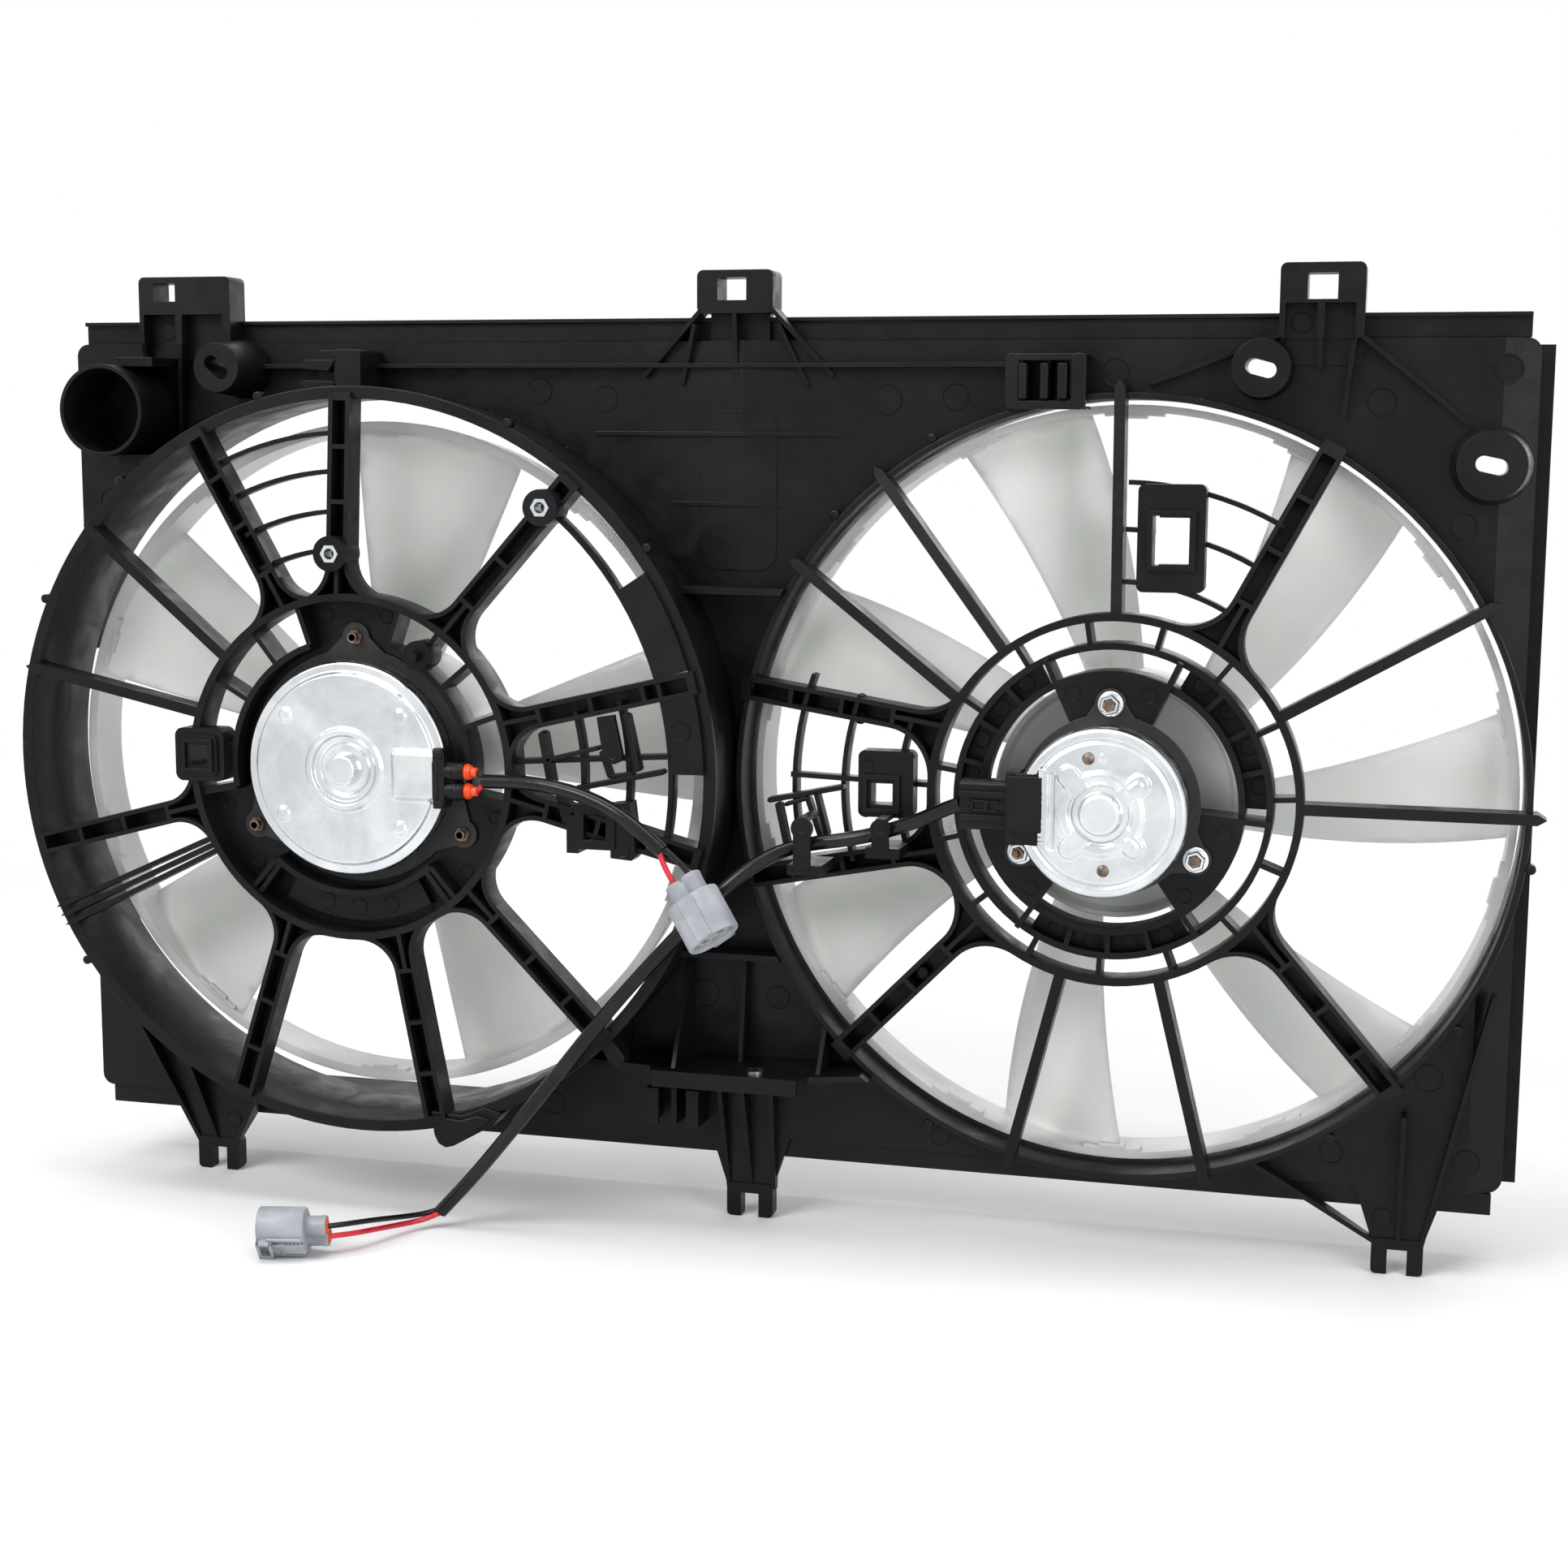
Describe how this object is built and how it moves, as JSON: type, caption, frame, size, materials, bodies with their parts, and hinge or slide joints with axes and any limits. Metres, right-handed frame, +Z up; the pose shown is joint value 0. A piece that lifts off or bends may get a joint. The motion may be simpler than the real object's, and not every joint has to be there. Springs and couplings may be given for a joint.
{
  "type": "radiator cooling fan",
  "caption": "Electric cooling fan unit for a vehicle radiator: moulded shroud with ringed fan bays, strutted motors, banded fans and plug-ended leads.",
  "frame": {"origin": "tips of the locating feet, at the middle of the shroud's width and its panel's front face", "axes": "+X to the right as seen from the engine side, +Y from the engine side to the radiator, +Z up"},
  "size_m": [0.7355, 0.1699, 0.461],
  "materials": {
    "shroud_plastic": "textured black glass-filled moulding",
    "fan_plastic": "translucent milky moulding",
    "zinc_plate": "bright zinc plate",
    "dark_steel": "satin dark coating",
    "fastener_steel": "oiled steel, faintly brown",
    "bright_steel": "ground",
    "ferrite": "plain",
    "core_steel": "laminated",
    "copper": "machined",
    "card_plastic": "plain",
    "outlet_plastic": "smooth black",
    "seal_rubber": "orange-red silicone",
    "connector_plastic": "mid grey moulding",
    "terminal_brass": "tinned",
    "sleeve_plastic": "glossy black tube",
    "black_insulation": "satin",
    "red_insulation": "satin"
  },
  "bodies": {
    "shroud": {"shroud_panel": "shroud_plastic", "plenum_walls": "shroud_plastic", "edge_lips": "shroud_plastic", "top_clips": "shroud_plastic", "locating_feet": "shroud_plastic", "slotted_bosses": "shroud_plastic", "hose_holder": "shroud_plastic", "panel_ribs": "shroud_plastic", "centre_post": "shroud_plastic", "harness_clips": "shroud_plastic", "left_ring": "shroud_plastic", "right_ring": "shroud_plastic", "left_strut_frame": "shroud_plastic", "right_strut_frame": "shroud_plastic", "left_motor_cover": "zinc_plate", "right_motor_cover": "zinc_plate", "right_flange_nuts": "zinc_plate", "hex_insert_nuts": "zinc_plate", "shelf_rivet": "zinc_plate", "left_motor_can": "dark_steel", "right_motor_can": "dark_steel", "left_mounting_plate": "dark_steel", "right_mounting_plate": "dark_steel", "left_motor_screws": "fastener_steel", "right_motor_studs": "fastener_steel", "right_cover_rivets": "fastener_steel", "left_motor_bearings": "bright_steel", "right_motor_bearings": "bright_steel", "left_magnets": "ferrite", "right_magnets": "ferrite", "left_brush_card": "card_plastic", "right_brush_card": "card_plastic", "left_motor_outlet": "outlet_plastic", "right_motor_outlet": "outlet_plastic", "left_outlet_seals": "seal_rubber", "left_connector_seals": "seal_rubber", "right_connector_seals": "seal_rubber", "left_lead_connector": "connector_plastic", "right_lead_connector": "connector_plastic", "left_connector_terminals": "terminal_brass", "right_connector_terminals": "terminal_brass", "left_lead_sleeve": "sleeve_plastic", "right_lead_sleeve": "sleeve_plastic", "left_lead_black_wire": "black_insulation", "right_lead_black_wire": "black_insulation", "left_lead_red_wire": "red_insulation", "right_lead_red_wire": "red_insulation"},
    "left_fan_wheel": {"left_fan": "fan_plastic", "left_fan_nut": "zinc_plate", "left_motor_shaft": "bright_steel", "left_armature": "core_steel", "left_commutator": "copper"},
    "right_fan_wheel": {"right_fan": "fan_plastic", "right_fan_nut": "zinc_plate", "right_motor_shaft": "bright_steel", "right_armature": "core_steel", "right_commutator": "copper"}
  },
  "joints": [
    {"name": "left_fan_spin", "type": "hinge", "parent": "shroud", "child": "left_fan_wheel", "pos_m": [-0.185, 0, 0.2248], "axis": [0, 1, 0], "continuous": true},
    {"name": "right_fan_spin", "type": "hinge", "parent": "shroud", "child": "right_fan_wheel", "pos_m": [0.1795, 0, 0.2215], "axis": [0, 1, 0], "continuous": true}
  ]
}
